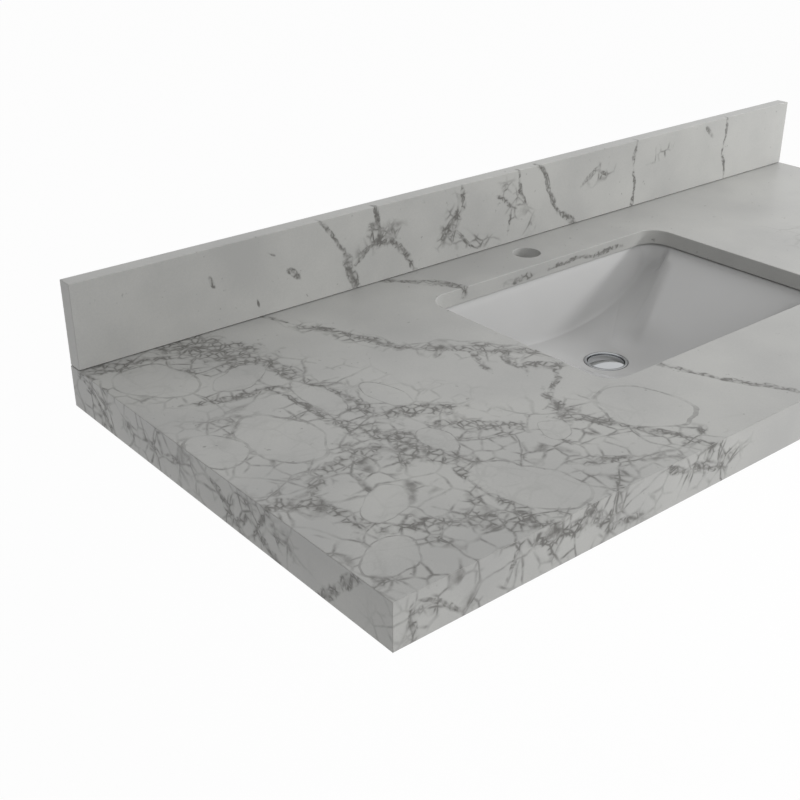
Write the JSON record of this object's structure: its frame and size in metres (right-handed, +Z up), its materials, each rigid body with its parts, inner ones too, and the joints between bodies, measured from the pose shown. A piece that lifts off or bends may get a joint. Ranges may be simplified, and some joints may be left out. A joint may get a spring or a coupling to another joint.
{
  "type": "vanity top with undermount basin",
  "caption": "Stone vanity top with mitred aprons, a backsplash, an undermount rectangular basin, a faucet hole and a push-down drain stopper.",
  "frame": {"origin": "middle of the rear support strip's underside, in the plane in which the top rests on its cabinet", "axes": "+X to the right along the front, +Y to the wall, +Z up"},
  "size_m": [1.28, 0.56, 0.3704],
  "materials": {
    "marble": "polished, grey veined",
    "sealant": "matt silicone",
    "ceramic": "glazed",
    "chrome": "polished",
    "rubber": "matt",
    "acetal": "moulded",
    "brass": "turned",
    "zinc_steel": "zinc plated",
    "spring_steel": "drawn wire"
  },
  "bodies": {
    "vanity_top": {"countertop_slab": "marble", "front_apron": "marble", "left_apron": "marble", "right_apron": "marble", "rear_support_strip": "marble", "backsplash": "marble", "backsplash_sealant": "sealant", "basin_sealant": "sealant", "basin": "ceramic", "drain_body": "chrome", "tailpiece": "chrome", "flange_gasket": "rubber", "cone_gasket": "rubber", "tailpiece_seal": "rubber", "friction_washer": "acetal", "cartridge_housing": "acetal", "lock_nut": "brass", "slab_insert_1": "brass", "slab_insert_2": "brass", "slab_insert_3": "brass", "slab_insert_4": "brass", "slab_insert_5": "brass", "slab_insert_6": "brass", "clip_wing_nut_1": "brass", "clip_wing_nut_2": "brass", "clip_wing_nut_3": "brass", "clip_wing_nut_4": "brass", "clip_wing_nut_5": "brass", "clip_wing_nut_6": "brass", "clip_stud_1": "zinc_steel", "clip_stud_2": "zinc_steel", "clip_stud_3": "zinc_steel", "clip_stud_4": "zinc_steel", "clip_stud_5": "zinc_steel", "clip_stud_6": "zinc_steel", "basin_clip_1": "zinc_steel", "basin_clip_2": "zinc_steel", "basin_clip_3": "zinc_steel", "basin_clip_4": "zinc_steel", "basin_clip_5": "zinc_steel", "basin_clip_6": "zinc_steel", "clip_washer_1": "zinc_steel", "clip_washer_2": "zinc_steel", "clip_washer_3": "zinc_steel", "clip_washer_4": "zinc_steel", "clip_washer_5": "zinc_steel", "clip_washer_6": "zinc_steel", "return_spring": "spring_steel"},
    "stopper": {"stopper_cap": "chrome", "stopper_seal": "rubber", "plunger": "zinc_steel"}
  },
  "joints": [
    {"name": "stopper_lift", "type": "slide", "parent": "vanity_top", "child": "stopper", "axis": [0, 0, 1], "range_m": [0, 0.009], "deforming": ["return_spring"]}
  ]
}
